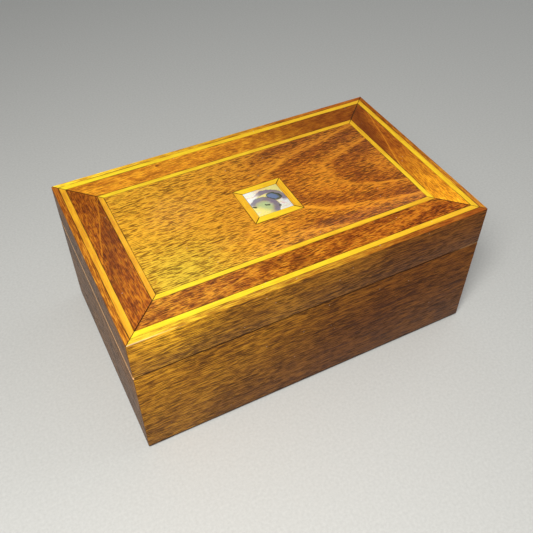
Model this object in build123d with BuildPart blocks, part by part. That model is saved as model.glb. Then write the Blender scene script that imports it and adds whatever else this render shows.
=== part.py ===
"""Poker chip case: a mitred wooden box with an inlaid lid on two butt hinges.

Inside are a fixed chip rack with two wells beside it, and over them a lift-out tray with the same layout.
Millimetres. +X runs along the case to the right, +Y to the hinge side, +Z up. The origin is the middle of
the footprint, on the surface that the case stands on.
"""

from math import radians, tan
import os

from build123d import *

# Case
case_length = 267.0
case_width = 165.0
case_height = 114.0
seam_height = 82.0  # of the parting line between base and lid, where the hinge axis lies
seam_gap = 0.2
wall = 10.0
edge_break = 0.5  # chamfer along the outer edges
corner_round = 0.7  # of the upright corners

# Bottom
felt_thickness = 1.0
felt_inset = 2.0
bottom_thickness = 5.0
bottom_rabbet = 5.0  # how far the bottom panel is let into the walls
lining_thickness = 1.0

# Lid top
rim = 4.1  # of the walls, left showing round the inlay
lid_panel_thickness = 5.0
inlay_thickness = 2.0
outer_string_width = 4.3
crossband_width = 17.9
inner_string_width = 3.9
shell_side = 27.0
shell_frame_width = 5.6
shell_offset = -3.3  # of the shell square from the middle of the lid, along Y

# Hinges
lid_opening = 95.0  # degrees
bevel_spare = 1.0  # degrees left between the back bevels when the lid is fully open
hinge_from_end = 48.0  # from the end of the case to the middle of the hinge
hinge_length = 38.0
hinge_inset = 2.6  # of the hinge axis from the back face
knuckle_count = 5
knuckle_gap = 0.2
barrel_radius = 2.2
pin_radius = 1.0
pin_clearance = 0.05
leaf_width = 6.4  # from the hinge axis to the inner edge of the leaf
leaf_thickness = 1.2
seat_clearance = 0.3  # round the barrels
mortise_clearance = 0.05
screw_count = 3  # in each leaf
screw_pitch = 13.0
screw_head_radius = 1.4
screw_shank_radius = 0.8
screw_length = 8.0
screw_clearance = 0.03

# Chips and cards that the case is made for
chip_diameter = 39.0
chip_play = 1.6  # on the diameter, in a trough
row_length = 154.0
card_well_width = 93.0
chip_headroom = 0.8  # over the lower chips

# Racks and tray
rack_height = 18.0
rack_skin = 1.2  # left under the troughs
ridge = 2.0  # least width left between two troughs
divider_thickness = 4.0
well_divider_thickness = 3.0
divider_height = 19.0
ledge_thickness = 6.0
ledge_gap = 0.2  # under the resting tray
tray_height = 22.0
tray_floor_thickness = 3.0
tray_rail_thickness = 5.0
tray_end_thickness = 8.0
tray_end_clearance = 0.5
tray_side_clearance = 2.3  # lets the lid swing past the raised tray
notch_width = 46.0
notch_depth = 11.0

# Levels and places that follow
bottom_level = felt_thickness
panel_top = bottom_level + bottom_thickness
floor_level = panel_top + lining_thickness
base_top = seam_height - seam_gap / 2
lid_bottom = seam_height + seam_gap / 2
inlay_bottom = case_height - inlay_thickness
lid_panel_bottom = inlay_bottom - lid_panel_thickness
inside_length = case_length - 2 * wall
inside_width = case_width - 2 * wall
hinge_y = case_width / 2 - hinge_inset
hinge_x = case_length / 2 - hinge_from_end
screw_y = hinge_y - (barrel_radius + leaf_width) / 2
trough_radius = (chip_diameter + chip_play) / 2
ledge_top = floor_level + rack_skin + chip_diameter + chip_headroom
tray_level = ledge_top + ledge_gap
tray_length = inside_length - 2 * tray_end_clearance
tray_width = inside_width - 2 * tray_side_clearance
outer_string_end = rim + outer_string_width
crossband_end = outer_string_end + crossband_width
inner_string_end = crossband_end + inner_string_width

SIDES = ("front", "back", "left", "right")

os.makedirs("parts", exist_ok=True)


def save(piece, name):
    """Labels a finished piece and writes it as the STEP file of that name."""
    piece.part.label = name
    export_step(piece.part, f"parts/{name}.step")


def block(x, y, z):
    """A plain board between two limits along each axis."""
    with BuildPart() as board:
        with Locations(((x[0] + x[1]) / 2, (y[0] + y[1]) / 2, (z[0] + z[1]) / 2)):
            Box(x[1] - x[0], y[1] - y[0], z[1] - z[0])
    return board


def mitred_outline(length, width, outer, inner, side, centre_y=0.0):
    """Corners of one side of a mitred frame, from `outer` to `inner` in from the edges of a rectangle."""
    out_x, out_y = length / 2 - outer, width / 2 - outer
    in_x, in_y = length / 2 - inner, width / 2 - inner
    across = side in ("left", "right")
    sign = 1 if side in ("back", "right") else -1
    if across:
        corners = [(sign * out_x, -out_y), (sign * out_x, out_y), (sign * in_x, in_y), (sign * in_x, -in_y)]
    else:
        corners = [(-out_x, sign * out_y), (out_x, sign * out_y), (in_x, sign * in_y), (-in_x, sign * in_y)]
    return [(x, y + centre_y) for x, y in corners]


def mitred_strip(length, width, outer, inner, side, centre_y=0.0):
    """One inlaid strip of a mitred frame, flush with the top of the lid."""
    with BuildPart() as strip:
        with BuildSketch(Plane.XY.offset(inlay_bottom)):
            with BuildLine():
                Polyline(*mitred_outline(length, width, outer, inner, side, centre_y), close=True)
            make_face()
        extrude(amount=inlay_thickness)
    return strip


def mitred_wall(ring, side):
    """One board of a four-sided box, cut at 45 degrees at both ends."""
    reach = wall / 2
    with BuildPart() as board:
        add(ring.part)
        with BuildSketch():
            with BuildLine():
                Polyline(*mitred_outline(case_length, case_width, -reach, wall + reach, side), close=True)
            make_face()
        extrude(amount=case_height, mode=Mode.INTERSECT)
    return board


def box_ring(low, high):
    """Four walls in one piece, with their outer edges broken."""
    with BuildPart() as ring:
        with BuildSketch(Plane.XY.offset(low)):
            RectangleRounded(case_length, case_width, corner_round)
            Rectangle(inside_length, inside_width, mode=Mode.SUBTRACT)
        extrude(amount=high - low)
        for face in (ring.faces().sort_by(Axis.Z)[0], ring.faces().sort_by(Axis.Z)[-1]):
            chamfer(face.outer_wire().edges(), edge_break)
    return ring


def back_bevel(up):
    """The wedge that is cut off a back edge, from the hinge axis out; `up` is 1 in the lid and -1 in the base."""
    reach = 2 * hinge_inset
    rise = reach * tan(radians((lid_opening + bevel_spare) / 2))
    with BuildPart() as wedge:
        with BuildSketch(Plane.YZ.offset(-case_length)):
            with BuildLine():
                Polyline(
                    (hinge_y, seam_height),
                    (hinge_y + reach, seam_height),
                    (hinge_y + reach, seam_height + up * rise),
                    close=True,
                )
            make_face()
        extrude(amount=2 * case_length)
    return wedge


def screw_places():
    """Places of one leaf's screws along the hinge, from its middle."""
    return [(i - (screw_count - 1) / 2) * screw_pitch for i in range(screw_count)]


def hinge_screw(up, clearance=0.0):
    """A countersunk screw at the origin, its head flush with z = 0; `up` is the way that it points."""
    shank = screw_shank_radius + clearance
    head = screw_head_radius + clearance
    head_depth = screw_head_radius - screw_shank_radius
    tip = screw_length + clearance
    with BuildPart() as screw:
        with BuildSketch(Plane.XZ):
            with BuildLine():
                Polyline(
                    (0, 0),
                    (head, 0),
                    (shank, up * head_depth),
                    (shank, up * (tip - shank)),
                    (0, up * tip),
                    close=True,
                )
            make_face()
        revolve(axis=Axis.Z)
    return screw


def screw_row(up, xs, clearance=0.0):
    """The screws of the leaves whose middles are at `xs`, driven from the seam."""
    face = lid_bottom if up > 0 else base_top
    screw = hinge_screw(up, clearance)
    with BuildPart() as row:
        with Locations(*[(x + dx, screw_y, face) for x in xs for dx in screw_places()]):
            add(screw.part)
    return row


def hinge_seat(up):
    """What is cut out of the wall for both hinges: a mortise for each leaf and room for its barrel."""
    face = lid_bottom if up > 0 else base_top
    depth = leaf_thickness + mortise_clearance
    inward = leaf_width + mortise_clearance
    with BuildPart() as seat:
        with Locations(*[(x, hinge_y - inward / 2, face + up * depth / 2) for x in (-hinge_x, hinge_x)]):
            Box(hinge_length + 2 * mortise_clearance, inward, depth)
        with Locations((-hinge_x, hinge_y, seam_height), (hinge_x, hinge_y, seam_height)):
            Cylinder(barrel_radius + seat_clearance, hinge_length + 2 * seat_clearance, rotation=(0, 90, 0))
    return seat


def hinge_leaf(up, x):
    """One leaf with its knuckles round the axis; the base's leaf has the outer ones."""
    face = lid_bottom if up > 0 else base_top
    pitch = hinge_length / knuckle_count
    places = [x - hinge_length / 2 + (i + 0.5) * pitch for i in range(knuckle_count)]
    own = places[1::2] if up > 0 else places[0::2]
    other = places[0::2] if up > 0 else places[1::2]
    with BuildPart() as leaf:
        with Locations((x, hinge_y - leaf_width / 2, face + up * leaf_thickness / 2)):
            Box(hinge_length, leaf_width, leaf_thickness)
        with Locations(*[(k, hinge_y, seam_height) for k in other]):
            Cylinder(barrel_radius + knuckle_gap, pitch, rotation=(0, 90, 0), mode=Mode.SUBTRACT)
        with Locations(*[(k, hinge_y, seam_height) for k in own]):
            Cylinder(barrel_radius, pitch - knuckle_gap, rotation=(0, 90, 0))
        with Locations((x, hinge_y, seam_height)):
            Cylinder(pin_radius + pin_clearance, 2 * hinge_length, rotation=(0, 90, 0), mode=Mode.SUBTRACT)
        add(screw_row(up, [x], screw_clearance).part, mode=Mode.SUBTRACT)
    return leaf


def chip_rack(x, width, level):
    """A block with as many half-round troughs as fit side by side, one for each row of chips."""
    trough_count = int(width // (2 * trough_radius + ridge))
    pitch = width / trough_count
    with BuildPart() as rack:
        with Locations(((x[0] + x[1]) / 2, 0, level + rack_height / 2)):
            Box(x[1] - x[0], width, rack_height)
        troughs = [(i - (trough_count - 1) / 2) * pitch for i in range(trough_count)]
        with Locations(*[((x[0] + x[1]) / 2, y, level + rack_skin + trough_radius) for y in troughs]):
            Cylinder(trough_radius, x[1] - x[0], rotation=(0, 90, 0), mode=Mode.SUBTRACT)
    return rack


def save_layout(prefix, x, y, level):
    """The rack and dividers that fill a level from its left end: chips, then a card well and a small well."""
    rack_end = x[0] + row_length
    well = rack_end + divider_thickness
    well_divider_y = y[0] + card_well_width
    save(chip_rack((x[0], rack_end), y[1] - y[0], level), f"{prefix}_chip_rack")
    save(block((rack_end, well), y, (level, level + divider_height)), f"{prefix}_rack_divider")
    save(
        block(
            (well, x[1]),
            (well_divider_y, well_divider_y + well_divider_thickness),
            (level, level + divider_height),
        ),
        f"{prefix}_well_divider",
    )


# Base: four walls, a bottom panel let into them from below, felt underneath and a lined floor
base_ring = box_ring(bottom_level, base_top)
with BuildPart() as base_walls:
    add(base_ring.part)
    with BuildSketch(Plane.XY.offset(bottom_level)):
        Rectangle(inside_length + 2 * bottom_rabbet, inside_width + 2 * bottom_rabbet)
    extrude(amount=bottom_thickness, mode=Mode.SUBTRACT)
    add(back_bevel(-1).part, mode=Mode.SUBTRACT)
    add(hinge_seat(-1).part, mode=Mode.SUBTRACT)
    add(screw_row(-1, (-hinge_x, hinge_x), screw_clearance).part, mode=Mode.SUBTRACT)
for side in SIDES:
    save(mitred_wall(base_walls, side), f"base_{side}_wall")

panel_half_length = inside_length / 2 + bottom_rabbet
panel_half_width = inside_width / 2 + bottom_rabbet
save(
    block(
        (-panel_half_length, panel_half_length),
        (-panel_half_width, panel_half_width),
        (bottom_level, panel_top),
    ),
    "bottom_panel",
)

with BuildPart() as underside_felt:
    with BuildSketch():
        Rectangle(case_length - 2 * felt_inset, case_width - 2 * felt_inset)
    extrude(amount=felt_thickness)
save(underside_felt, "underside_felt")

inside_x = (-inside_length / 2, inside_length / 2)
inside_y = (-inside_width / 2, inside_width / 2)
save(block(inside_x, inside_y, (panel_top, floor_level)), "floor_lining")

# Lower level: a ledge at each end that carries the tray, and the fixed rack between them
lower_x = (inside_x[0] + ledge_thickness, inside_x[1] - ledge_thickness)
save(block((inside_x[0], lower_x[0]), inside_y, (floor_level, ledge_top)), "left_tray_ledge")
save(block((lower_x[1], inside_x[1]), inside_y, (floor_level, ledge_top)), "right_tray_ledge")
save_layout("lower", lower_x, inside_y, floor_level)

# Lift-out tray: a floor with rails and notched end boards on it, and the same layout inside
tray_x = (-tray_length / 2, tray_length / 2)
tray_y = (-tray_width / 2, tray_width / 2)
tray_z = (tray_level + tray_floor_thickness, tray_level + tray_height)
tray_inside_x = (tray_x[0] + tray_end_thickness, tray_x[1] - tray_end_thickness)
tray_inside_y = (tray_y[0] + tray_rail_thickness, tray_y[1] - tray_rail_thickness)
save(block(tray_x, tray_y, (tray_level, tray_z[0])), "tray_floor")
save(block(tray_inside_x, (tray_y[0], tray_inside_y[0]), tray_z), "tray_front_rail")
save(block(tray_inside_x, (tray_inside_y[1], tray_y[1]), tray_z), "tray_back_rail")
for name, ends in (("left", (tray_x[0], tray_inside_x[0])), ("right", (tray_inside_x[1], tray_x[1]))):
    with BuildPart() as tray_end:
        add(block(ends, tray_y, tray_z).part)
        with BuildSketch(Plane.YZ.offset(ends[0])):
            with Locations((0, tray_z[1])):
                SlotOverall(notch_width, 2 * notch_depth)
        extrude(amount=tray_end_thickness, mode=Mode.SUBTRACT)
    save(tray_end, f"tray_{name}_end")
save_layout("tray", tray_inside_x, tray_inside_y, tray_z[0])

# Lid: four walls with a pocket in the top, which holds the panel and the inlay
lid_ring = box_ring(lid_bottom, case_height)
with BuildPart() as lid_walls:
    add(lid_ring.part)
    with BuildSketch(Plane.XY.offset(lid_panel_bottom)):
        Rectangle(case_length - 2 * rim, case_width - 2 * rim)
    extrude(amount=case_height, mode=Mode.SUBTRACT)
    add(back_bevel(1).part, mode=Mode.SUBTRACT)
    add(hinge_seat(1).part, mode=Mode.SUBTRACT)
    add(screw_row(1, (-hinge_x, hinge_x), screw_clearance).part, mode=Mode.SUBTRACT)
for side in SIDES:
    save(mitred_wall(lid_walls, side), f"lid_{side}_wall")

pocket_x = (rim - case_length / 2, case_length / 2 - rim)
pocket_y = (rim - case_width / 2, case_width / 2 - rim)
save(block(pocket_x, pocket_y, (lid_panel_bottom, inlay_bottom)), "lid_panel")
save(block(inside_x, inside_y, (lid_panel_bottom - lining_thickness, lid_panel_bottom)), "lid_lining")

# Inlay, from the rim inwards, every strip mitred at the corners
frame_side = shell_side + 2 * shell_frame_width
for side in SIDES:
    save(mitred_strip(case_length, case_width, rim, outer_string_end, side), f"outer_string_{side}")
    save(mitred_strip(case_length, case_width, outer_string_end, crossband_end, side), f"crossband_{side}")
    save(mitred_strip(case_length, case_width, crossband_end, inner_string_end, side), f"inner_string_{side}")
    save(mitred_strip(frame_side, frame_side, 0, shell_frame_width, side, shell_offset), f"shell_frame_{side}")

with BuildPart() as centre_panel:
    with BuildSketch(Plane.XY.offset(inlay_bottom)):
        Rectangle(case_length - 2 * inner_string_end, case_width - 2 * inner_string_end)
        with Locations((0, shell_offset)):
            Rectangle(frame_side, frame_side, mode=Mode.SUBTRACT)
    extrude(amount=inlay_thickness)
save(centre_panel, "centre_panel")

with BuildPart() as shell_square:
    with BuildSketch(Plane.XY.offset(inlay_bottom)):
        with Locations((0, shell_offset)):
            Rectangle(shell_side, shell_side)
    extrude(amount=inlay_thickness)
save(shell_square, "shell_square")

# Hinges
for name, x in (("left", -hinge_x), ("right", hinge_x)):
    save(hinge_leaf(-1, x), f"{name}_hinge_base_leaf")
    save(hinge_leaf(1, x), f"{name}_hinge_lid_leaf")
    with BuildPart() as hinge_pin:
        with Locations((x, hinge_y, seam_height)):
            Cylinder(pin_radius, hinge_length, rotation=(0, 90, 0))
    save(hinge_pin, f"{name}_hinge_pin")
save(screw_row(-1, (-hinge_x, hinge_x)), "base_hinge_screws")
save(screw_row(1, (-hinge_x, hinge_x)), "lid_hinge_screws")
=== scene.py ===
# %% [markdown]
# # An inlaid poker chip case
# The case is a wooden box whose lid carries the show: a rim, two light strings, a crossband and a centre
# panel with a square of shell. The CAD model already holds every size and every joint. This lesson gives
# each piece its finish. It starts by loading that model and keeping its box, because the looks may not
# outgrow it.

import math

import bmesh
import bpy
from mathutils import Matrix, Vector


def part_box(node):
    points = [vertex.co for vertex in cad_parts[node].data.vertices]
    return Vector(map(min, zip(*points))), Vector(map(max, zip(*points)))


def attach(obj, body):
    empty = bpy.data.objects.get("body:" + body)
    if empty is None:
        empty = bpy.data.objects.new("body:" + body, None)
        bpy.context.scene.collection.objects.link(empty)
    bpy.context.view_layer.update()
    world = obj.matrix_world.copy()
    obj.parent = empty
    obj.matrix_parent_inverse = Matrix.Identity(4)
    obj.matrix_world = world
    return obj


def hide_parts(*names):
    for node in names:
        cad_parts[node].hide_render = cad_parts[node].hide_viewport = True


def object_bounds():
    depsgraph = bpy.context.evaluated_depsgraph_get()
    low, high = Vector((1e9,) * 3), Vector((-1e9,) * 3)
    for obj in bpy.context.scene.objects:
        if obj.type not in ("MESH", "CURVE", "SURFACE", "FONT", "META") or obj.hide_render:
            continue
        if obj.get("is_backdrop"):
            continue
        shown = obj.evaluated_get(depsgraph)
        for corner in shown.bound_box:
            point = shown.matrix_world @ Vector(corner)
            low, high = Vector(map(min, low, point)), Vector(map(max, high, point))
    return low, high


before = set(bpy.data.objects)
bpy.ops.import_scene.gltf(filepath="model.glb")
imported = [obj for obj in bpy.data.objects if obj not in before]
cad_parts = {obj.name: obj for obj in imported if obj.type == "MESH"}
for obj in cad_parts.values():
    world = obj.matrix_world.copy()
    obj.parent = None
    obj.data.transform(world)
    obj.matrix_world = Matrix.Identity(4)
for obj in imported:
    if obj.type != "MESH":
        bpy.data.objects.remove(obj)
cad_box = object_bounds()
scene = bpy.context.scene
MM = 0.001
SIDES = ("front", "back", "left", "right")
case_length, case_width, case_height = cad_box[1] - cad_box[0]
top_level = case_height / MM
half_long, half_wide = case_length / MM / 2, case_width / MM / 2
print("case", [round(size / MM, 1) for size in (case_length, case_width, case_height)], "mm")


def run_of(side):
    """The axis that the boards of one side run along."""
    return "X" if side in ("front", "back") else "Y"


# %% [markdown]
# ## Node helpers
# Every finish here is built from nodes in code. A few small helpers keep that readable: `node` makes one and
# `fill` sets its inputs, `maths` makes a function for each kind of sum, `stretch` and `fade` turn a measure
# into a mask, `mix`, `tint` and `ramp` handle colours, and `new_group` starts a shader node group with named
# inputs and outputs. A socket knows the tree it belongs to, so most helpers find theirs from what they get.


# %% Helpers for nodes
def is_socket(value):
    """Whether a value is a socket and no plain number or colour."""
    return isinstance(value, bpy.types.NodeSocket)


def fill(made, inputs):
    """Sets a node's inputs; `inputs` maps a name or number to a value or to a socket to join."""
    for key, value in inputs.items():
        if is_socket(value):
            made.id_data.links.new(value, made.inputs[key])
        else:
            made.inputs[key].default_value = value


def node(tree, kind, inputs=None, **settings):
    """Adds a node with its settings and inputs."""
    made = tree.nodes.new(kind)
    for key, value in settings.items():
        setattr(made, key, value)
    fill(made, inputs or {})
    return made


def tree_of(*values):
    """The tree of the first socket among some values."""
    return next(value.id_data for value in values if is_socket(value))


def maths(operation):
    """Makes the function that adds one kind of Math node and returns its result."""
    def place(a, b=0.0, clamp=False):
        inputs = {0: a, 1: b}
        return node(tree_of(a, b), "ShaderNodeMath", inputs, operation=operation, use_clamp=clamp).outputs[0]
    return place


add, minus, times, divide = map(maths, ("ADD", "SUBTRACT", "MULTIPLY", "DIVIDE"))
larger, smaller, absolute = map(maths, ("MAXIMUM", "MINIMUM", "ABSOLUTE"))
root, fraction, below = map(maths, ("SQRT", "FRACT", "LESS_THAN"))


def vector(operation, a, b):
    """One sum on two vectors, or on a vector and a scale."""
    inputs = {0: a, "Scale" if operation == "SCALE" else 1: b}
    made = node(tree_of(a, b), "ShaderNodeVectorMath", inputs, operation=operation)
    return made.outputs["Value" if operation == "DISTANCE" else "Vector"]


def axes(place):
    """The X, Y and Z of a place."""
    return node(place.id_data, "ShaderNodeSeparateXYZ", {0: place}).outputs


def stretch(value, low, high, to_low=0.0, to_high=1.0):
    """Maps low..high smoothly to a new range."""
    inputs = {"Value": value, "From Min": low, "From Max": high, "To Min": to_low, "To Max": to_high}
    return node(value.id_data, "ShaderNodeMapRange", inputs, interpolation_type="SMOOTHSTEP").outputs[0]


def fade(value, start, end, most=1.0):
    """A mask that is `most` up to start and nothing past end."""
    return stretch(value, start, end, most, 0.0)


def noise(place, detail, roughness):
    """Smooth noise with grains about one unit long."""
    inputs = {"Vector": place, "Scale": 1.0, "Detail": detail, "Roughness": roughness}
    return node(place.id_data, "ShaderNodeTexNoise", inputs).outputs[0]


def noise_at(place, scales, detail=2.0, roughness=0.5):
    """Noise in a space stretched by three scales per millimetre."""
    return noise(vector("MULTIPLY", place, scales), detail, roughness)


def mix(factor, a, b, blend="MIX"):
    """Blends two colours, each given as (r, g, b) or as a socket."""
    a, b = (each if is_socket(each) else (*each, 1.0) for each in (a, b))
    inputs = {0: factor, 6: a, 7: b}
    return node(tree_of(factor, a, b), "ShaderNodeMix", inputs, data_type="RGBA", blend_type=blend).outputs[2]


def tint(colour, by):
    """Multiplies one colour by another."""
    return mix(1.0, colour, by, "MULTIPLY")


def ramp(factor, stops):
    """A colour ramp with stops of (place, (r, g, b))."""
    made = node(factor.id_data, "ShaderNodeValToRGB", {"Fac": factor})
    elements = made.color_ramp.elements
    while len(elements) < len(stops):
        elements.new(0.5)
    for element, (place, colour) in zip(elements, stops):
        element.position = place
        element.color = (*colour, 1.0)
    return made.outputs[0]


def new_group(name, defaults, results):
    """A shader node group that takes a place and some numbers and gives back masks."""
    tree = bpy.data.node_groups.new(name, "ShaderNodeTree")
    tree.interface.new_socket("Vector", in_out="INPUT", socket_type="NodeSocketVector")
    for title, default in defaults.items():
        socket = tree.interface.new_socket(title, in_out="INPUT", socket_type="NodeSocketFloat")
        socket.default_value = default
    for title in results:
        tree.interface.new_socket(title, in_out="OUTPUT", socket_type="NodeSocketFloat")
    return tree, tree.nodes.new("NodeGroupInput").outputs, tree.nodes.new("NodeGroupOutput")


def new_material(name):
    """An empty material with a Principled shader joined to its output."""
    material = bpy.data.materials.new(name)
    material.use_nodes = True
    tree = material.node_tree
    tree.nodes.clear()
    shader = tree.nodes.new("ShaderNodeBsdfPrincipled")
    output = tree.nodes.new("ShaderNodeOutputMaterial")
    tree.links.new(shader.outputs[0], output.inputs[0])
    return material, tree, shader


def relief(height, strength, depth):
    """The normal of a surface bumped by a height map; `depth` is in millimetres."""
    inputs = {"Height": height, "Strength": strength, "Distance": depth * MM}
    return node(height.id_data, "ShaderNodeBump", inputs).outputs[0]


# %% [markdown]
# ## What wood is made of
# A board is a slice through a tree, so its pattern is solid, not printed: growth rings are nearly
# cylinders round the tree's heart, fibres run along it, and pores are tiny tubes that a saw cuts into
# short dark dashes. One node group makes them from a place in the board, measured in millimetres with X
# along the grain. Where the heart lies below the face decides the figure: far off gives straight lines,
# close under the face and tilted gives the arches of a flat-sawn panel. This wood marks the end of each
# year with a thin light line. The group is built once, and each wood sets its own heart, ring width, pore
# size and seed.

# %% The wood group
wood_defaults = {
    "Heart Y": 0, "Heart Z": -200, "Taper": 0, "Ring Width": 5, "Wander": 6, "Line Width": 0.12,
    "Fibre Length": 12, "Fibre Width": 1, "Pore Length": 7, "Pore Width": 1, "Pore Size": 0.4,
    "Mottle Size": 12, "Seed": 0,
}
wood_group, given, wood_result = new_group(
    "wood figure", wood_defaults, ("Growth", "Lines", "Fibres", "Pores", "Mottle"))


def measured(apart, length, width):
    """A place measured in a grain's length along X and in its width along Y and Z."""
    parts = {0: divide(apart[0], length), 1: divide(apart[1], width), 2: divide(apart[2], width)}
    return node(parts[0].id_data, "ShaderNodeCombineXYZ", parts).outputs[0]


def build_wood_group(get):
    """Fills the wood group: growth rings, light year lines, fibres, pores and mottle."""
    moved = vector("ADD", get["Vector"], vector("SCALE", (61, 37, 83), get["Seed"]))

    # A slow wander and a quick ripple keep the rings from being perfect cylinders.
    wander = times(minus(noise_at(moved, (0.008, 0.02, 0.02)), 0.5), get["Wander"])
    ripple = times(minus(noise_at(moved, (0.06, 0.14, 0.14), roughness=0.6), 0.5), 1.1)

    # The distance from the heart is counted in years; each year deepens and ends in a line.
    apart = axes(get["Vector"])
    across = minus(apart[1], get["Heart Y"])
    depth = add(minus(apart[2], get["Heart Z"]), times(apart[0], get["Taper"]))
    radius = root(add(times(across, across), times(depth, depth)))
    radius = add(radius, add(wander, ripple))
    year = fraction(divide(radius, get["Ring Width"]))
    growth = minus(stretch(year, 0, 0.7), stretch(year, 0.8, 1), clamp=True)
    from_end = smaller(year, minus(1, year))
    lines = fade(from_end, 0, get["Line Width"])

    # Fibres and pores run along the board and sway with the rings; pores come in crowds.
    loose = axes(moved)
    bent = (loose[0], add(loose[1], add(times(wander, 0.25), ripple)), loose[2])
    fibres = noise(measured(bent, get["Fibre Length"], get["Fibre Width"]), 3, 0.65)
    fibres = stretch(fibres, 0.36, 0.64)
    pore_place = measured(bent, get["Pore Length"], get["Pore Width"])
    cells = node(wood_group, "ShaderNodeTexVoronoi", {"Vector": pore_place, "Scale": 1}).outputs["Distance"]
    crowd = stretch(noise_at(moved, (0.03, 0.09, 0.09)), 0.3, 0.7, 0.78, 1.12)
    pores = fade(minus(cells, times(get["Pore Size"], crowd)), -0.10, 0.06)

    mottle = stretch(noise(measured(loose, get["Mottle Size"], get["Mottle Size"]), 3, 0.6), 0.30, 0.70)
    made = {"Growth": growth, "Lines": lines, "Fibres": fibres, "Pores": pores, "Mottle": mottle}
    fill(wood_result, made)


build_wood_group(given)
print("wood group:", len(wood_group.nodes), "nodes")

# %% [markdown]
# ## Dust under the varnish
# A few specks of dust settle in any varnish while it dries. Seen close they are pale dots, far apart.
# The second group finds the middle of scattered cells and keeps the dot of one cell in twenty.

# %% The dust group
dust_group, given, dust_result = new_group("dust specks", {"Spacing": 3.2, "Share": 0.05}, ["Mask"])
spacing = divide(1, given["Spacing"])
cells = node(dust_group, "ShaderNodeTexVoronoi", {"Vector": given["Vector"], "Scale": spacing}).outputs
pick = node(dust_group, "ShaderNodeSeparateColor", {0: cells["Color"]}).outputs[0]
fill(dust_result, {"Mask": times(fade(cells["Distance"], 0.07, 0.11), below(pick, given["Share"]))})
print("dust group:", len(dust_group.nodes), "nodes")

# %% [markdown]
# ## From pattern to varnished wood
# A wood's colour is a short scale of tones that growth, fibres and mottle pick from. The year lines lighten
# it and the pores darken it. The same function serves every wood in the case. Boards that run front to back
# swap X and Y first, so that their grain follows their length. On top of that come the marks of one board:
#
# - `drift` changes its tone from one end to the other, tilted down the wall by `drop`
# - `glow` tints it round one place
# - `vein` is one long light line with a darker side, where a veneer is cut across a year, and `knot` a small
#   dark eye
# - `rim` gives the upper edge of a wall its own brighter tones
# - `joints` are the dark glue lines of the mitres, and the seam marks are painted shade and painted
#   highlights at the seam, the foot and one top edge
#
# The varnish is the shader's coat: clear, smooth and a little soft, over a duller wood whose open pores make
# the bump.

# %% Places and marks on a board
# The glue brown also paints the shade in the seam and at the foot; the next two are painted highlights.
glue_and_shade_brown = (0.035, 0.013, 0.004)
painted_seam_highlight = (0.95, 0.54, 0.24)
painted_edge_highlight = (0.92, 0.86, 0.74)
pale_dust = (0.75, 0.70, 0.62)
dust_strength = 0.45


def board_place(tree, along="X"):
    """Object coordinates in millimetres, with X along the grain."""
    scaled = vector("SCALE", node(tree, "ShaderNodeTexCoord").outputs["Object"], 1 / MM)
    if along == "X":
        return scaled
    apart = axes(scaled)
    return node(tree, "ShaderNodeCombineXYZ", {0: apart[1], 1: apart[0], 2: apart[2]}).outputs[0]


def tone_scale(tone, tones):
    """A colour ramp with evenly spread tones."""
    return ramp(tone, [(i / (len(tones) - 1), each) for i, each in enumerate(tones)])


def broad_patches(flat, scale, low, high):
    """Slow noise between two strengths."""
    return stretch(noise_at(flat, (scale, scale, scale)), 0.38, 0.62, low, high)


def near_point(flat, point, inner, outer, strength=1):
    """A mask round a point (x, y) on top of the lid."""
    return fade(vector("DISTANCE", flat, (*point, top_level)), inner, outer, strength)


def add_vein(colour, flat, tones, start, end, dark_side, width, sway=5):
    """Draws a light thread from start to end that sways a little, and darkens the wood on its left."""
    run = (Vector(end) - Vector(start)).normalized()
    apart = axes(flat)
    along_x = times(minus(apart[0], start[0]), -run.y)
    along_y = times(minus(apart[1], start[1]), run.x)
    bend = times(minus(noise_at(flat, (0.03, 0.03, 0.03)), 0.5), sway)
    off = add(add(along_x, along_y), bend)
    shade = times(stretch(off, -2, width), stretch(off, width, width * 2.6, 1, 0.35))
    colour = mix(times(shade, dark_side), colour, tones[-1])
    thread = fade(absolute(off), 0.15, 0.8, 0.75)
    return mix(thread, colour, tones[0])


def rim_colour(tone, apart, along, rim_tones, start, end, first, last, far):
    """The colour of the rim, which changes along each board and from the near to the far board."""
    run, side = (apart[0], apart[1]) if along == "X" else (apart[1], apart[0])
    edge = tint(tone_scale(tone, rim_tones), mix(stretch(run, start, end), first, last))
    return tint(edge, mix(stretch(side, -20, 20), (1, 1, 1), far))


def glue_lines(flat, apart, joints):
    """Masks the dark glue lines of mitred frames and the fainter ones along their strips.

    Each frame is (lead, middle_y, half_width, places): half the difference between its length and width,
    where its middle lies, how wide its mitre lines are, and how far out its long joints run.
    """
    faint = broad_patches(flat, 0.05, 0.2, 0.8)
    dark = 0
    for lead, middle_y, half_width, places in joints:
        ahead = minus(absolute(apart[0]), lead)
        aside = absolute(minus(apart[1], middle_y))
        if half_width:
            off = absolute(minus(ahead, aside))
            dark = larger(dark, fade(off, half_width, half_width * 2.2))
        outward = larger(ahead, aside)
        for place in places:
            off = absolute(minus(outward, place))
            dark = larger(dark, times(fade(off, 0.20, 0.48), faint))
    return times(dark, stretch(apart[2], top_level - 0.9, top_level - 0.4, 0, 0.9))


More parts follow.
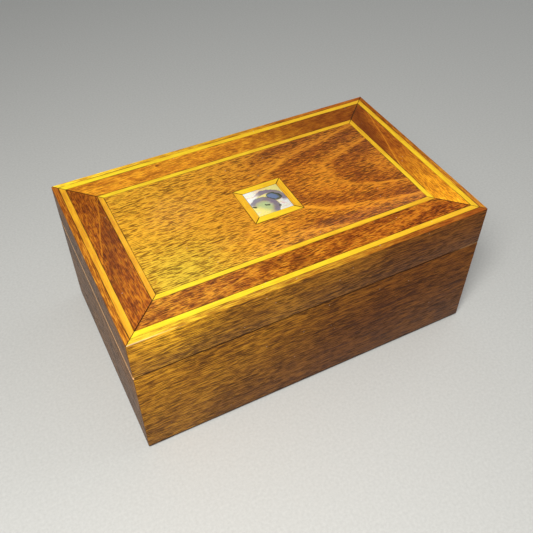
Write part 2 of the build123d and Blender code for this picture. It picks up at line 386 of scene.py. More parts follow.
# %% Wood as a material
def wood_colour(wood, flat, along, tones, shares, spread, line_light, pore_dark, figure_from, marks):
    """The colour of one board: its tones, then its marks, then pores, glue, painted shade and highlights and
    dust.
    """
    apart = axes(flat)
    figured = stretch(apart[0], *figure_from) if figure_from else 1
    figure = (times(wood["Growth"], figured), wood["Fibres"], wood["Mottle"])
    parts = [times(value, share) for value, share in zip(figure, shares)]
    tone = stretch(add(add(parts[0], parts[1]), parts[2]), *spread)
    colour = tone_scale(tone, tones)
    if "vein" in marks:
        colour = add_vein(colour, flat, tones, *marks["vein"])
    year_light = times(times(wood["Lines"], figured), line_light)
    year_light = times(year_light, broad_patches(flat, 0.03, 0.3, 1))
    colour = mix(year_light, colour, tones[0])
    # On the long walls the drift and the glow are partly the board's own tone and partly painted light; on
    # the centre panel the glow is a painted sheen.
    if "drift" in marks:
        start, end, first, last = marks["drift"]
        run = add(apart[0 if along == "X" else 1], times(apart[2], marks.get("drop", 0)))
        colour = tint(colour, mix(stretch(run, start, end), first, last))
    if "glow" in marks:
        point, reach, warmth = marks["glow"]
        colour = mix(near_point(flat, point, 0, reach), colour, tint(colour, warmth))
    bare = minus(1, times(year_light, 0.75), clamp=True)
    pore_mask = times(times(wood["Pores"], pore_dark), bare)
    if "rim" in marks:
        top = stretch(apart[2], top_level - 0.7, top_level - 0.3)
        pore_mask = times(pore_mask, stretch(top, 0, 1, 1, 0.35))
        colour = mix(top, colour, rim_colour(tone, apart, along, *marks["rim"]))
    if "knot" in marks:
        colour = mix(near_point(flat, *marks["knot"]), colour, tones[-1])
    colour = mix(pore_mask, colour, [part * 0.35 for part in tones[-1]])
    if "joints" in marks:
        colour = mix(glue_lines(flat, apart, marks["joints"]), colour, glue_and_shade_brown)
    # Painted shade at the seam and the foot, and painted highlights on the seam and on one top edge.
    if "seam_light" in marks:
        seam_light_colours = (glue_and_shade_brown, painted_seam_highlight, painted_edge_highlight)
        for mask, worn_colour in zip(marks["seam_light"](flat, apart), seam_light_colours):
            colour = mix(mask, colour, worn_colour)
    dust = node(flat.id_data, "ShaderNodeGroup", {"Vector": flat}, node_tree=dust_group).outputs[0]
    return mix(times(dust, dust_strength), colour, pale_dust)


def wood_material(name, tones, grain, along="X", shares=(0.2, 0.5, 0.3), spread=(0.1, 0.9), line_light=0.3,
                  pore_dark=0.6, figure_from=None, roughness=0.42, coat=0.28, coat_roughness=0.18, bump=0.3,
                  **marks):
    """A varnished wood.

    `tones` run from light to dark, `shares` weigh growth, fibres and mottle, and `spread` is the stretch of
    their sum that the tones cover. `grain` sets the wood group, and the figure may fade in along
    `figure_from`. The marks are those of the text above.
    """
    material, tree, shader = new_material(name)
    place = {"Vector": board_place(tree, along)}
    wood = node(tree, "ShaderNodeGroup", place | grain, node_tree=wood_group).outputs
    flat = board_place(tree)
    colour = wood_colour(wood, flat, along, tones, shares, spread, line_light, pore_dark, figure_from, marks)
    fill(shader, {
        "Base Color": colour,
        "Roughness": stretch(wood["Pores"], 0, 1, roughness, min(1, roughness + 0.25)),
        "Normal": relief(minus(times(wood["Fibres"], 0.3), wood["Pores"]), bump, 0.06),
        "Specular IOR Level": 0.05,
        "Coat Weight": coat,
        "Coat Roughness": coat_roughness,
    })
    return material


# %% [markdown]
# ## The woods of the case
# The four walls are one brown, straight-grained board, sawn apart into lid and base after glue-up, so the
# grain runs on across the seam. Their upper edge, the rim, is a brighter cut of the same wood. The end walls
# are given darker tones as painted shade, the long walls partly painted light, and the seam, the foot and one
# top edge painted shade and highlights. The crossband is redder and mottled, the centre panel is flat-sawn
# and golden with arches that open to the right and a painted sheen at its left front, and the strings and the
# frame of the shell are a plain yellow wood. Inside are a duller wood for the racks and a pale one for the
# two hidden panels.

# %% Painted shade and highlights at the seam
lid_edge, base_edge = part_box("lid_front_wall")[0].z / MM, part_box("base_front_wall")[1].z / MM
foot_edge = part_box("base_front_wall")[0].z / MM
print("seam from", round(base_edge, 1), "to", round(lid_edge, 1), "mm, foot at", round(foot_edge, 1), "mm")


def seam_light_masks(flat, apart):
    """Masks for painted shade at the seam and foot, painted highlights on the seam and one painted edge
    highlight.
    """
    past_end = minus(absolute(apart[0]), half_long)
    past_side = minus(absolute(apart[1]), half_wide)
    outside = stretch(larger(past_end, past_side), -1.5, -0.7)
    seam = absolute(minus(apart[2], (base_edge + lid_edge) / 2))
    # Painted shade: a dark line in the seam and a dark band along the foot.
    dark = fade(seam, 0.40, 0.75, 0.95)
    foot = fade(apart[2], foot_edge + 1.2, foot_edge + 2, 0.95)
    # Painted highlights on the seam: a line on the left end and faint patches near the right end.
    left_end = fade(apart[0], -half_long + 0.3, -half_long + 1)
    left_end = times(left_end, fade(seam, 0.7, 1.3))
    right_end = stretch(apart[0], half_long - 30, half_long - 8, 0, 0.25)
    patches = stretch(noise_at(flat, (0.06, 0.06, 0)), 0.35, 0.55)
    right_end = times(times(right_end, patches), fade(seam, 0.45, 0.80))
    seam_highlight_mask = times(larger(left_end, right_end), outside)
    # A painted highlight along the front's top edge near the left corner.
    from_top = minus(top_level, apart[2])
    from_front = add(apart[1], half_wide)
    corner = fade(add(from_top, from_front), 0.30, 0.60, 0.8)
    edge_highlight_mask = times(corner, fade(apart[0], -half_long + 6, -half_long + 42))
    return times(larger(dark, foot), outside), seam_highlight_mask, edge_highlight_mask


# %% Where the joints run
shell_low, shell_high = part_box("shell_square")
shell_y = (shell_low.y + shell_high.y) / 2 / MM
lid_lead = half_long - half_wide
lid_joints = [-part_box("outer_string_front")[0].y / MM, -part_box("outer_string_front")[1].y / MM,
              -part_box("crossband_front")[1].y / MM, -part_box("centre_panel")[0].y / MM]
shell_joints = [shell_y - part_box("shell_frame_front")[0].y / MM, (shell_high.x - shell_low.x) / 2 / MM]
print("lid joints", [round(place, 1) for place in lid_joints], "mm out, shell's",
      [round(place, 1) for place in shell_joints])

# %% Tones of the woods
front_tones = [(0.56, 0.25, 0.022), (0.42, 0.17, 0.014), (0.28, 0.105, 0.010), (0.13, 0.045, 0.006)]
# The end walls are the same wood as the long walls; their darker tones are painted shade.
shaded_end_tones = [(0.30, 0.125, 0.018), (0.22, 0.086, 0.013), (0.15, 0.055, 0.009), (0.08, 0.027, 0.006)]
rim_long_tones = [(0.86, 0.50, 0.040), (0.74, 0.38, 0.030), (0.60, 0.26, 0.022), (0.40, 0.15, 0.016)]
rim_short_tones = [(0.66, 0.30, 0.030), (0.54, 0.21, 0.020), (0.40, 0.13, 0.014), (0.20, 0.06, 0.009)]
red_tones = [(0.74, 0.29, 0.018), (0.55, 0.175, 0.010), (0.36, 0.095, 0.006), (0.17, 0.038, 0.004)]
golden_tones = [(0.90, 0.44, 0.028), (0.72, 0.31, 0.018), (0.50, 0.18, 0.013), (0.24, 0.075, 0.010)]
yellow_tones = [(0.92, 0.66, 0.024), (0.89, 0.61, 0.020), (0.85, 0.55, 0.018), (0.76, 0.45, 0.016)]
amber_tones = [(0.87, 0.50, 0.022), (0.83, 0.45, 0.018), (0.77, 0.39, 0.016), (0.65, 0.29, 0.014)]
tray_tones = [(0.34, 0.150, 0.040), (0.25, 0.102, 0.027), (0.17, 0.065, 0.018), (0.09, 0.034, 0.011)]
pale_tones = [(0.62, 0.42, 0.22), (0.55, 0.35, 0.17), (0.47, 0.29, 0.13), (0.36, 0.21, 0.09)]

# %% Walls
wall_grain = {"Heart Z": -420, "Ring Width": 9, "Wander": 10, "Line Width": 0.08, "Fibre Length": 11,
              "Fibre Width": 0.75, "Pore Length": 8, "Pore Width": 0.85, "Pore Size": 0.42,
              "Mottle Size": 40, "Seed": 3}
long_rim = (rim_long_tones, -160, 120, (1.05, 1.30, 1), (0.52, 0.27, 0.3), (1.36, 1.46, 1.2))
short_rim = (rim_short_tones, -20, 80, (1.12, 1.10, 0.9), (0.74, 0.54, 0.5), (0.88, 0.85, 0.8))
# The walls carry painted shade and highlights at the seam, the foot and one top edge.
wall_finish = {"shares": (0.1, 0.6, 0.3), "line_light": 0.1, "seam_light": seam_light_masks,
               "joints": [(lid_lead, 0, 0.25, lid_joints[:1])]}
# The long walls' drift, lighter at the left and up the wall, and their glow round the front's top left corner
# are partly the board's own tone and partly painted light.
case_wood = {
    "X": wood_material("case_wood_long", front_tones, wall_grain | {"Heart Y": -40}, pore_dark=0.75,
                       rim=long_rim, drift=(-225, 20, (1.22, 1.28, 0.9), (0.44, 0.33, 0.33)), drop=-0.8,
                       glow=((-98, -82.5), 46, (1.48, 1.68, 1.2)), coat=0.15, **wall_finish),
    "Y": wood_material("case_wood_short", shaded_end_tones, wall_grain | {"Heart Y": 30}, along="Y",
                       pore_dark=0.6, rim=short_rim, coat=0.10, **wall_finish),
}
print("wall woods:", [wood.name for wood in case_wood.values()])

# %% Crossband
band_grain = {"Heart Z": 20, "Ring Width": 12, "Wander": 14, "Line Width": 0.06, "Fibre Length": 6,
              "Fibre Width": 0.7, "Pore Length": 6.5, "Pore Width": 0.75, "Pore Size": 0.40,
              "Mottle Size": 8}
band_hearts = {
    "front": {"Heart Y": -160, "Taper": -0.25, "Seed": 11},
    "back": {"Heart Y": 150, "Taper": 0.1, "Seed": 12},
    "left": {"Heart Y": -190, "Taper": 0.25, "Seed": 13},
    "right": {"Heart Y": 40, "Taper": 0.45, "Seed": 14},
}
band_finish = {
    "front": {"drift": (-120, 120, (0.94, 1.04, 1.1), (0.88, 0.74, 0.7)), "pore_dark": 0.9,
              "spread": (0.08, 0.92), "line_light": 0.5, "knot": ((-10, -67.5), 1.5, 10, 0.7),
              "vein": ((46, -67.5), (82, -58.5), 0.15, 3)},
    "back": {"drift": (-20, 95, (1.42, 1.78, 1.4), (0.55, 0.45, 0.4)), "pore_dark": 0.45,
             "spread": (-0.3, 1.3), "line_light": 0.5, "knot": ((-56, 70.5), 0.7, 2.2, 0.85)},
    "left": {"drift": (-80, 80, (0.94, 0.86, 0.5), (0.60, 0.50, 0.3)), "pore_dark": 0.65,
             "spread": (0, 1), "line_light": 0, "vein": ((-105, 62), (-122, -2), 0.55, 6)},
    "right": {"drift": (-75, 15, (2.05, 2.75, 1.6), (0.86, 0.76, 0.7)), "pore_dark": 0.35,
              "spread": (-0.3, 1.3), "line_light": 0, "vein": ((109, -8), (126, 66), 0.8, 9)},
}
crossband_wood = {
    side: wood_material(f"crossband_wood_{side}", red_tones, band_grain | band_hearts[side],
                        along=run_of(side), shares=(0.12, 0.50, 0.38),
                        joints=[(lid_lead, 0, 0.35, lid_joints[1:3])], **band_finish[side])
    for side in SIDES
}
print("crossband woods:", len(crossband_wood))

# %% Centre panel
centre_grain = {"Heart Y": 0, "Heart Z": 52, "Taper": -0.22, "Ring Width": 12.6, "Wander": 12,
                "Line Width": 0.09, "Fibre Length": 6.5, "Fibre Width": 0.60, "Pore Length": 6.5,
                "Pore Width": 0.75, "Pore Size": 0.45, "Mottle Size": 30, "Seed": 21}
# The glow round the panel's left front is a painted sheen.
centre_wood = wood_material(
    "centre_wood", golden_tones, centre_grain, shares=(0.34, 0.54, 0.12), spread=(0.15, 0.85), line_light=1.3,
    pore_dark=0.82, joints=[(lid_lead, 0, None, lid_joints[3:]), (0, shell_y, None, shell_joints[:1])],
    drift=(-105, 75, (0.83, 0.89, 0.95), (0.87, 0.63, 0.6)), glow=((-80, -48), 58, (0.90, 1.22, 1.5)),
    figure_from=(-15, 30))

# %% Strings and the frame of the shell
string_grain = {"Ring Width": 2.6, "Wander": 3, "Fibre Length": 14, "Fibre Width": 0.6,
                "Pore Length": 9, "Pore Width": 0.9, "Pore Size": 0.25, "Mottle Size": 18}
string_plan = {
    "X": ("long", yellow_tones, 31, {"drift": (-130, 130, (0.97, 1.08, 1), (0.94, 0.78, 1))}),
    "Y": ("short", amber_tones, 32, {"drift": (-80, 80, (0.93, 0.88, 1), (0.90, 0.84, 0.9)),
                                       "glow": ((125, -30), 190, (1.20, 1.55, 1.2))}),
}
frame_joints = {"lid": (lid_lead, 0, 0.22, lid_joints), "shell": (0, shell_y, 0.30, shell_joints)}
string_wood = {}
for along, (name, tones, seed, marks) in string_plan.items():
    for frame_name, joint in frame_joints.items():
        string_wood[frame_name, along] = wood_material(
            f"string_wood_{frame_name}_{name}", tones, string_grain | {"Seed": seed}, along=along,
            shares=(0.3, 0.4, 0.3), line_light=0.1, pore_dark=0.15, bump=0.1, joints=[joint], **marks)
print("string woods:", len(string_wood))

# %% Woods of the inside
tray_grain = {"Heart Z": -160, "Ring Width": 6, "Wander": 12, "Fibre Width": 1.2,
              "Pore Length": 6, "Pore Width": 0.9, "Pore Size": 0.32}
tray_wood = {
    along: wood_material(f"tray_wood_{name}", tray_tones, tray_grain | {"Seed": seed}, along=along, coat=0.2,
                         coat_roughness=0.35, roughness=0.5)
    for along, name, seed in (("X", "long", 41), ("Y", "short", 42))
}
panel_wood = wood_material("panel_wood", pale_tones, tray_grain | {"Seed": 51}, coat=0, roughness=0.65,
                           pore_dark=0.3)
print("woods:", len([m for m in bpy.data.materials if "wood" in m.name]))

# %% [markdown]
# ## Shell
# The square in the lid is cut from a sea shell: pearly white and pale yellow, crossed by a lilac arch, with a
# large lilac growth round a green eye below it, a blue-black patch between them and a few dark pinholes.
# Each of these is a distance from a chosen place, bent a little by noise, so that round shapes turn into
# grown ones. A distance becomes a soft mask, and the masks lay one colour over the other. A thin film on
# the shader adds the faint rainbow of pearl.

# %% Colours of the shell
pearl_white = (0.78, 0.79, 0.77)
pearl_yellow = (0.82, 0.74, 0.22)
lilac = (0.17, 0.13, 0.20)
pale_lilac = (0.46, 0.33, 0.40)
eye_green = (0.30, 0.44, 0.24)
sky_blue = (0.15, 0.20, 0.36)
deep_green = (0.020, 0.030, 0.012)
rose = (0.78, 0.40, 0.36)
pinholes = [(-3.4, -4.1, 1.3, 0.8), (-1.9, -4.9, 1.3, 0.9), (-11.8, -3, 1.9, 1.2), (5.4, -8.6, 1.4, 0.8)]


# %% Shell material
def shell_material(middle):
    """Polished shell, its figure laid out in millimetres from the middle of the square."""
    material, tree, shader = new_material("polished_shell")
    local = vector("ADD", board_place(tree), tuple(-c / MM for c in middle))
    grains = {"Vector": local, "Scale": 0.22, "Detail": 4, "Roughness": 0.66}
    swirl = node(tree, "ShaderNodeTexNoise", grains)
    push = vector("SUBTRACT", swirl.outputs[1], (0.5, 0.5, 0.5))
    bent = vector("ADD", local, vector("SCALE", push, 3.6))
    where = axes(bent)

    def lean(x, y, run_x, run_y):
        """Millimetres past (x, y) in the direction (run_x, run_y)."""
        first = times(minus(where[0], x), run_x)
        second = times(minus(where[1], y), run_y)
        return add(first, second)

    def oval(x, y, run_x, run_y, half_length, half_breadth):
        """Distance from a turned oval's middle, 1 on its outline."""
        long = divide(lean(x, y, run_x, run_y), half_length)
        broad = divide(lean(x, y, -run_y, run_x), half_breadth)
        return root(add(times(long, long), times(broad, broad)))

    def lay(under, over, mask, strength):
        """Lays one colour over the others where the mask is bright."""
        return mix(times(mask, strength), under, over)

    # The ground: yellow in the middle, white towards two corners, with rosy streaks.
    corners = stretch(absolute(lean(0, 0, 0.8, -0.6)), 6.5, 11.5)
    clouds = noise_at(bent, (0.10, 0.16, 0.1), 3, 0.6)
    whiteness = add(corners, stretch(clouds, 0.42, 0.62, -0.25, 0.45), clamp=True)
    colour = mix(whiteness, pearl_yellow, pearl_white)
    streaks = noise_at(bent, (0.10, 0.9, 0.5), roughness=0.6)
    colour = lay(colour, rose, stretch(streaks, 0.57, 0.68), 0.75)

    # The growth: a green eye in a lilac ring, seen only on its upper right side.
    growth = oval(-5, -6, 1, 0, 11, 11)
    facing = stretch(lean(-5, -6, 0.7, 0.7), -5, 0.5)
    colour = lay(colour, eye_green, times(fade(growth, 0.40, 0.70), facing), 0.75)
    ring = times(stretch(growth, 0.36, 0.72), fade(growth, 0.96, 1.02))
    colour = lay(colour, lilac, times(ring, facing), 0.92)

    # The arch: pale at the top, darker down its right leg.
    off_arch = absolute(minus(oval(1, -2, 1, 0, 11.2, 11.2), 1))
    arch = fade(off_arch, 0.13, 0.21)
    right_leg = times(times(arch, stretch(where[0], -7, -2)), stretch(where[1], -6, -3))
    colour = lay(colour, pale_lilac, times(arch, stretch(where[1], 6, 9)), 0.7)
    colour = lay(colour, lilac, right_leg, 0.85)

    # Dark marks: the growth's outline, the patch with its blue heart, and the pinholes.
    outline = fade(absolute(minus(growth, 1)), 0.01, 0.04, 0.7)
    colour = lay(colour, deep_green, times(outline, facing), 0.7)
    colour = lay(colour, deep_green, fade(oval(6.1, 2, 0.72, -0.69, 6.4, 4), 0.85, 1), 0.9)
    colour = lay(colour, sky_blue, fade(oval(5.4, 2.2, 0.72, -0.69, 5.4, 3), 0.60, 1), 0.95)
    for x, y, half_length, half_breadth in pinholes:
        hole = oval(x, y, 0.85, -0.52, half_length, half_breadth)
        colour = lay(colour, deep_green, fade(hole, 0.6, 1.1), 0.95)

    layers = noise_at(bent, (0.7, 1.3, 1), 4, 0.65)
    shine = ramp(layers, [(0.32, (0.80, 0.74, 0.88)), (0.5, (1, 1, 1)), (0.66, (1, 1, 0.80))])
    fill(shader, {
        "Base Color": mix(0.7, colour, shine, "MULTIPLY"),
        "Normal": relief(layers, 0.12, 0.05),
        "Roughness": 0.25,
        "Coat Weight": 0.8,
        "Coat Roughness": 0.08,
        "Thin Film Thickness": 420,
        "Thin Film IOR": 1.4,
    })
    return material


polished_shell = shell_material((shell_low + shell_high) / 2)
print("shell square", round((shell_high - shell_low).x / MM, 1), "mm")

# %% [markdown]
# ## Brass and felt
# Hinges are drawn brass: even, warm, with fine scratches along the leaf. Felt and baize are matted fibre,
# so their colour is mottled by two sizes of noise and sheen lifts it where it is seen edge-on.


# %% Brass and felt materials
def brass_material():
    """Brushed brass."""
    material, tree, shader = new_material("hinge_brass")
    place = board_place(tree)
    scratches = noise_at(place, (0.25, 9, 9), roughness=0.6)
    stain = noise_at(place, (0.12, 0.12, 0.12), 3, 0.6)
    fill(shader, {
        "Base Color": ramp(stain, [(0.35, (0.58, 0.38, 0.12)), (0.65, (0.80, 0.58, 0.24))]),
        "Normal": relief(scratches, 0.2, 0.03),
        "Roughness": stretch(scratches, 0.3, 0.7, 0.22, 0.42),
        "Metallic": 1,
    })
    return material


def felt_material(name, light, dark):
    """Matted wool felt."""
    material, tree, shader = new_material(name)
    place = board_place(tree)
    matting = noise_at(place, (1.6, 1.6, 1.6), 4, 0.7)
    patches = noise_at(place, (0.04, 0.04, 0.04))
    tone = add(times(matting, 0.7), times(patches, 0.3))
    fill(shader, {
        "Base Color": ramp(tone, [(0.35, dark), (0.65, light)]),
        "Normal": relief(matting, 0.6, 0.3),
        "Roughness": 0.95,
        "Sheen Weight": 0.4,
        "Sheen Roughness": 0.5,
    })
    return material


hinge_brass = brass_material()
green_baize = felt_material("green_baize", (0.030, 0.120, 0.055), (0.010, 0.055, 0.025))
black_felt = felt_material("black_felt", (0.030, 0.030, 0.032), (0.010, 0.010, 0.011))
print("materials:", len(bpy.data.materials))

# %% [markdown]
# ## Boards with softened edges
# CAD leaves every edge knife-sharp, and nothing real is. A bevel well under a millimetre wide catches a line
# of light along each edge and draws the joints. The CAD mesh itself stays untouched, so each board is a
# copy: its loose triangles are merged, flat faces are made whole again, and a Bevel modifier rounds what
# is sharper than 30 degrees. The normals are hardened so that the wide faces stay flat.


# %% Helpers for pieces
def finished_mesh(shape, name):
    """Turns a shape under construction into a mesh."""
    mesh = bpy.data.meshes.new(name)
    shape.to_mesh(mesh)
    shape.free()
    return mesh


def smooth(piece):
    """Shades a piece smoothly."""
    for face in piece.data.polygons:
        face.use_smooth = True


def add_piece(mesh, name, body, material, replaced):
    """Puts a mesh in the scene as a piece that rides on a body and stands for a CAD node."""
    piece = bpy.data.objects.new(name, mesh)
    scene.collection.objects.link(piece)
    mesh.materials.clear()
    mesh.materials.append(material)
    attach(piece, body)
    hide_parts(replaced)
    return piece


def soften(piece, width, segments=2):
    """Rounds the piece's sharp edges; `width` is in millimetres."""
    smooth(piece)
    bevel = piece.modifiers.new("soft edges", "BEVEL")
    bevel.width = width * MM
    bevel.segments = segments
    bevel.limit_method = "ANGLE"
    bevel.angle_limit = math.radians(30)
    bevel.harden_normals = True


def clean_copy(name):
    """A copy of a CAD node's mesh with shared corners and whole flat faces."""
    shape = bmesh.new()
    shape.from_mesh(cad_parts[name].data)
    bmesh.ops.remove_doubles(shape, verts=shape.verts, dist=0.002 * MM)
    bmesh.ops.dissolve_limit(shape, angle_limit=math.radians(0.5), verts=shape.verts, edges=shape.edges)
    return finished_mesh(shape, name + "_shape")


def finish_board(name, body, material, width):
    """Stands a softened copy in for a CAD node."""
    soften(add_piece(clean_copy(name), "finished_" + name, body, material, name), width)


# %% Finished boards
wall_edge, inside_edge, end_edge, panel_edge, inlay_edge = 0.35, 0.5, 0.6, 0.2, 0.08
for side in SIDES:
    for body in ("base", "lid"):
        finish_board(f"{body}_{side}_wall", body, case_wood[run_of(side)], wall_edge)
boards = [
    ("base", "tray_wood", tray_wood["Y"], inside_edge,
     ("left_tray_ledge", "right_tray_ledge", "lower_rack_divider")),
    ("base", "tray_wood", tray_wood["X"], inside_edge, ("lower_chip_rack", "lower_well_divider")),
    ("tray", "tray_wood", tray_wood["Y"], end_edge, ("tray_left_end", "tray_right_end", "tray_rack_divider")),
    ("tray", "tray_wood", tray_wood["X"], inside_edge,
     ("tray_floor", "tray_front_rail", "tray_back_rail", "tray_chip_rack", "tray_well_divider")),
    ("base", "panel_wood", panel_wood, panel_edge, ("bottom_panel",)),
    ("lid", "panel_wood", panel_wood, panel_edge, ("lid_panel",)),
    ("lid", "centre_wood", centre_wood, inlay_edge, ("centre_panel",)),
    ("lid", "shell", polished_shell, inlay_edge, ("shell_square",)),
]
for body, slot, material, width, names in boards:
    for name in names:
        finish_board(name, body, material, width)

# %% [markdown]
# ## Inlaid strips
# The strings, the crossband and the frame of the shell are strips laid edge to edge and mitred at the
# corners. Sanding leaves them flush, but the mitres show as fine dark lines, because the glue shrinks.
# Each strip is drawn from its CAD node's box as a four-cornered outline, drawn back by a hair from its
# neighbours, and given its thickness.


# %% Mitred strips
def outline_of_strip(name, side, mitre_line, edge_line):
    """Corners of a mitred strip seen from above, drawn back from its neighbours."""
    low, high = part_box(name)
    u, v = (0, 1) if run_of(side) == "X" else (1, 0)
    width = (high - low)[v]
    outer, inner = (low[v], high[v]) if side in ("front", "left") else (high[v], low[v])
    inward = 1 if inner > outer else -1
    outer, inner = outer + inward * edge_line, inner - inward * edge_line
    start, end = low[u] + mitre_line, high[u] - mitre_line
    corners = [(start + edge_line, outer), (end - edge_line, outer),
               (end - width + edge_line, inner), (start + width - edge_line, inner)]
    points = [Vector((a, b) if u == 0 else (b, a)) for a, b in corners]
    turned_over = (points[1] - points[0]).cross(points[2] - points[1]) < 0
    return points[::-1] if turned_over else points


def rectangle(x, y):
    """Corners of a rectangle round the origin."""
    return [(-x, -y), (x, -y), (x, y), (-x, y)]


def prism(points, low, high):
    """A solid mesh between two heights over an outline."""
    shape = bmesh.new()
    floor = [shape.verts.new((x, y, low)) for x, y in points]
    top = [shape.verts.new((x, y, high)) for x, y in points]
    shape.faces.new(floor[::-1])
    shape.faces.new(top)
    for i in range(len(points)):
        after = (i + 1) % len(points)
        shape.faces.new((floor[i], floor[after], top[after], top[i]))
    return finished_mesh(shape, "strip")


def lay_strips(family, woods, mitre_line, edge_line, left_line=None):
    """Makes the four strips of one frame, with lines in millimetres; the left one may have shrunk further."""
    for side in SIDES:
        name = f"{family}_{side}"
        low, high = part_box(name)
        line = left_line if left_line and side == "left" else edge_line
        mesh = prism(outline_of_strip(name, side, mitre_line * MM, line * MM), low.z, high.z)
        soften(add_piece(mesh, "laid_" + name, "lid", woods[side], name), strip_edge)


strip_edge = 0.06
lid_strings = {side: string_wood["lid", run_of(side)] for side in SIDES}
shell_strings = {side: string_wood["shell", run_of(side)] for side in SIDES}
lay_strips("outer_string", lid_strings, 0.20, 0.05)
lay_strips("inner_string", lid_strings, 0.20, 0.10, 0.22)
lay_strips("shell_frame", shell_strings, 0.25, 0.14, 0.32)
lay_strips("crossband", crossband_wood, 0.35, 0.08)

# %% [markdown]
# ## Felt and baize
# A sheet of baize lines the floor and the inside of the lid, and black felt under the case keeps it from
# scratching a table. They are glued flat, so a thin slab with softened edges is their true form.


# %% Lining sheets
def lay_felt(name, body, material):
    """A glued sheet of felt that stands for a CAD node."""
    piece = add_piece(clean_copy(name), "felt_" + name, body, material, name)
    soften(piece, felt_edge, 3)


felt_edge = 0.35
lay_felt("underside_felt", "base", black_felt)
lay_felt("floor_lining", "base", green_baize)
lay_felt("lid_lining", "lid", green_baize)

# %% [markdown]
# ## Hinges
# Each hinge has two leaves with interlocking knuckles round a pin. The leaves keep their CAD shape with
# softened edges. The pin is turned: a rod with slightly domed ends, made by spinning half its outline.


# %% Hinge leaves and pins
def turned(profile, start, steps=32):
    """Spins (along, radius) points round the X axis through `start`."""
    shape = bmesh.new()
    turns = [2 * math.pi * i / steps for i in range(steps)]
    rings = []
    for along, radius in profile:
        around = turns if radius else [0]
        rings.append([shape.verts.new((start.x + along, start.y + radius * math.cos(t),
                                       start.z + radius * math.sin(t))) for t in around])
    for first, second in zip(rings, rings[1:]):
        for i in range(steps):
            corners = [ring[i % len(ring)] for ring in (first, second)]
            after = [ring[(i + 1) % len(ring)] for ring in (second, first)]
            shape.faces.new(list(dict.fromkeys(corners + after)))
    bmesh.ops.recalc_face_normals(shape, faces=shape.faces)
    return finished_mesh(shape, "turned")


leaf_edge, dome_height = 0.12, 0.35
for hand in ("left", "right"):
    for body in ("base", "lid"):
        finish_board(f"{hand}_hinge_{body}_leaf", body, hinge_brass, leaf_edge)
    low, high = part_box(f"{hand}_hinge_pin")
    length, radius = high.x - low.x, (high.z - low.z) / 2
    quarter = (0, 0.5, 1, math.pi / 2)
    dome = [(radius * dome_height * (1 - math.cos(t)), radius * math.sin(t)) for t in quarter]
    profile = dome + [(length - along, r) for along, r in reversed(dome)]
    start = Vector((low.x, (low.y + high.y) / 2, (low.z + high.z) / 2))
    smooth(add_piece(turned(profile, start), f"turned_{hand}_pin", "base", hinge_brass,
                     f"{hand}_hinge_pin"))
print("hinge pin", round(length / MM, 1), "mm long")

# %% [markdown]
# ## Screws
# Twelve small countersunk screws hold the leaves. They repeat, so one slotted screw is drawn once and a
# Geometry Nodes tree stands a copy on every place, each turned by its own random angle. The tree is built
# here with named inputs, ends in Realize Instances and Set Material, and its result is taken as a plain
# mesh, one for each body.

# %% One slotted screw
screw_low, screw_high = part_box("base_hinge_screws")
screw_length = screw_high.z - screw_low.z
head_radius = (screw_high.y - screw_low.y) / 2
shank_radius, point_length = 0.8 * MM, 1.2 * MM
head_bevel, head_rim = 0.12 * MM, 0.1 * MM
slot_half, slot_depth = 0.19 * MM, 0.4 * MM
bar_reach, bar_top = 2 * MM, 1 * MM


def screw_mesh(steps=24):
    """A screw that points down from z = 0."""
    outline = [(0, head_radius - head_bevel), (-head_rim, head_radius),
               (-head_radius + shank_radius, shank_radius),
               (-screw_length + point_length, shank_radius * 0.9)]
    shape = bmesh.new()
    turns = [2 * math.pi * (i + 0.5) / steps for i in range(steps)]
    rings = [[shape.verts.new((radius * math.cos(t), radius * math.sin(t), z)) for t in turns]
             for z, radius in outline]
    tip = shape.verts.new((0, 0, -screw_length))
    for first, second in zip(rings, rings[1:]):
        for i in range(steps):
            after = (i + 1) % steps
            shape.faces.new((first[after], first[i], second[i], second[after]))
    for i in range(steps):
        shape.faces.new((rings[-1][(i + 1) % steps], rings[-1][i], tip))
    shape.faces.new(rings[0])
    return finished_mesh(shape, "screw")


def evaluated_mesh(thing):
    """The mesh of an object with its modifiers applied."""
    return bpy.data.meshes.new_from_object(thing.evaluated_get(bpy.context.evaluated_depsgraph_get()))


def add_plain(name, mesh):
    """Puts a mesh in the scene as a helper that is removed after use."""
    made = bpy.data.objects.new(name, mesh)
    scene.collection.objects.link(made)
    return made


def cut_slot(piece):
    """Cuts the slot across the head with a bar that is removed afterwards."""
    bar = add_plain("slot bar", prism(rectangle(bar_reach, slot_half), -slot_depth, bar_top))
    cut = piece.modifiers.new("slot", "BOOLEAN")
    cut.operation = "DIFFERENCE"
    cut.solver = "EXACT"
    cut.object = bar
    mesh = evaluated_mesh(piece)
    bpy.data.objects.remove(bar)
    return mesh


blank = add_plain("screw blank", screw_mesh())
slotted = add_plain("slotted screw", cut_slot(blank))
bpy.data.objects.remove(blank)
print("one screw:", len(slotted.data.polygons), "faces")


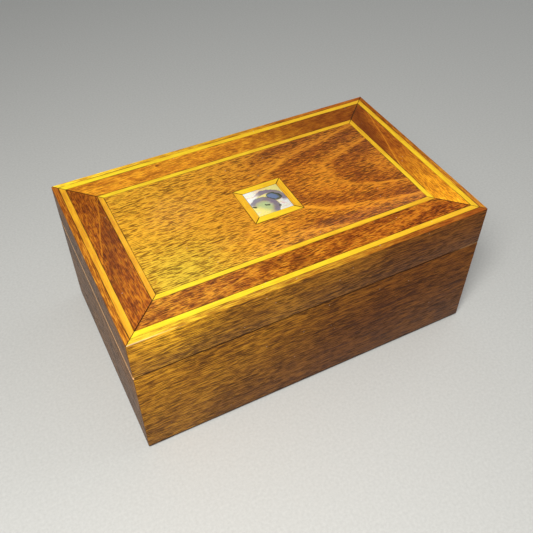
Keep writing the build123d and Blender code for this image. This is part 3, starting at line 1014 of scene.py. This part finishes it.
# %% The tree that sets the screws
def screw_tree():
    """Stands a turned copy of one object on each point of a mesh."""
    tree = bpy.data.node_groups.new("set screws", "GeometryNodeTree")
    kinds = {"Places": "Geometry", "Screw": "Object", "Point Up": "Bool", "Material": "Material",
             "Seed": "Int"}
    for title, kind in kinds.items():
        tree.interface.new_socket(title, in_out="INPUT", socket_type="NodeSocket" + kind)
    tree.interface.new_socket("Screws", in_out="OUTPUT", socket_type="NodeSocketGeometry")
    given = tree.nodes.new("NodeGroupInput").outputs
    screw = node(tree, "GeometryNodeObjectInfo", {"Object": given["Screw"]}).outputs["Geometry"]
    angle = node(tree, "FunctionNodeRandomValue", {"Seed": given["Seed"], 3: 2 * math.pi}, data_type="FLOAT")
    turned_over = times(given["Point Up"], math.pi)
    turn = node(tree, "ShaderNodeCombineXYZ", {0: turned_over, 2: angle.outputs[1]}).outputs[0]
    placed = node(tree, "GeometryNodeInstanceOnPoints",
                  {"Points": given["Places"], "Instance": screw, "Rotation": turn})
    real = node(tree, "GeometryNodeRealizeInstances", {0: placed.outputs[0]})
    dressed = node(tree, "GeometryNodeSetMaterial", {0: real.outputs[0], "Material": given["Material"]})
    tree.links.new(dressed.outputs[0], tree.nodes.new("NodeGroupOutput").inputs[0])
    return tree


set_screws = screw_tree()
sockets = {item.name: item.identifier for item in set_screws.interface.items_tree if item.in_out == "INPUT"}
print("inputs of the screw tree:", list(sockets))


# %% Screws of both bodies
def drive_screws(body, seed):
    """All the screws of one body as a plain mesh."""
    low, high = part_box(f"{body}_hinge_screws")
    middle_y = (low.y + high.y) / 2
    face = low.z if body == "lid" else high.z
    points = []
    for hand in ("left", "right"):
        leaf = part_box(f"{hand}_hinge_{body}_leaf")
        middle_x = (leaf[0].x + leaf[1].x) / 2
        outermost = (high.x - head_radius) - abs(middle_x)
        points += [(middle_x + place, middle_y, face) for place in (-outermost, 0, outermost)]
    mesh = bpy.data.meshes.new("screw places")
    mesh.from_pydata(points, [], [])
    holder = add_plain("screw places", mesh)
    modifier = holder.modifiers.new("screws", "NODES")
    modifier.node_group = set_screws
    modifier[sockets["Screw"]] = slotted
    modifier[sockets["Point Up"]] = body == "lid"
    modifier[sockets["Material"]] = hinge_brass
    modifier[sockets["Seed"]] = seed
    screws = evaluated_mesh(holder)
    bpy.data.objects.remove(holder)
    add_piece(screws, f"slotted_{body}_screws", body, hinge_brass, f"{body}_hinge_screws")
    print(body, "screws:", len(points), "places,", len(screws.polygons), "faces")


drive_screws("base", 5)
drive_screws("lid", 6)
bpy.data.objects.remove(slotted)

# %% [markdown]
# ## Stage, light and camera
# The case stands on a plain pale floor. One soft lamp stands near the left of the camera and falls off
# along the front, a small dim one far behind and a large one on the right give the varnish something to
# reflect, and a grey world fills the rest. The camera looks down over the front left corner.


# %% Floor
def floor_material():
    """Matt pale floor with a faint tooth."""
    material, tree, shader = new_material("pale_floor")
    tooth = noise_at(board_place(tree), (0.5, 0.5, 0.5), 3, 0.6)
    colour = ramp(tooth, [(0.3, (0.52, 0.53, 0.52)), (0.7, (0.59, 0.60, 0.59))])
    fill(shader, {"Base Color": colour, "Roughness": 0.75})
    return material


reach = 6
floor_mesh = bpy.data.meshes.new("floor")
floor_mesh.from_pydata([(x, y, 0) for x, y in rectangle(reach, reach)], [], [(0, 1, 2, 3)])
floor_mesh.materials.append(floor_material())
floor = add_plain("floor", floor_mesh)
floor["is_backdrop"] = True
print("floor:", 2 * reach, "m across")


# %% Lamps and world
def lamp(name, place, aim, size, power, colour=(1, 1, 1)):
    """A square soft lamp."""
    light = bpy.data.lights.new(name, "AREA")
    light.size = size
    light.energy = power
    light.color = colour
    made = add_plain(name, light)
    made.location = place
    made.rotation_euler = (Vector(aim) - Vector(place)).to_track_quat("-Z", "Y").to_euler()


case_middle = (0, 0, case_height / 2)
lamp("key", (-0.30, -0.38, 0.72), (-0.03, -0.06, 0.11), 0.30, 7.5, (1, 0.97, 0.92))
lamp("back glow", (0.19, 0.92, 1.15), case_middle, 0.4, 0.5, (0.85, 0.95, 1))
lamp("right fill", (1.2, 0.1, 1.1), case_middle, 1.2, 4)

world = bpy.data.worlds.new("studio")
world.use_nodes = True
fill(world.node_tree.nodes["Background"], {"Color": (0.88, 0.88, 0.88, 1), "Strength": 0.22})
scene.world = world
scene.view_settings.view_transform = "Standard"
print("lamps:", len(bpy.data.lights))

# %% Camera
camera_place = Vector((-0.1715, -0.3345, 0.4260))
camera_aim = Vector((-0.0025, -0.0061, 0.0500))
lens = bpy.data.cameras.new("camera")
lens.lens = 45.86
lens.sensor_width = 36
camera = add_plain("camera", lens)
camera.location = camera_place
camera.rotation_euler = (camera_aim - camera_place).to_track_quat("-Z", "Y").to_euler()
scene.camera = camera
print("camera", round((camera_aim - camera_place).length, 3), "m from its aim")

# %% Write the sizes and finish
visual_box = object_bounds()
growth = [(visual_box[1] - visual_box[0])[i] - (cad_box[1] - cad_box[0])[i] for i in range(3)]
print("looks grow the box by", [round(g / MM, 3) for g in growth], "mm")
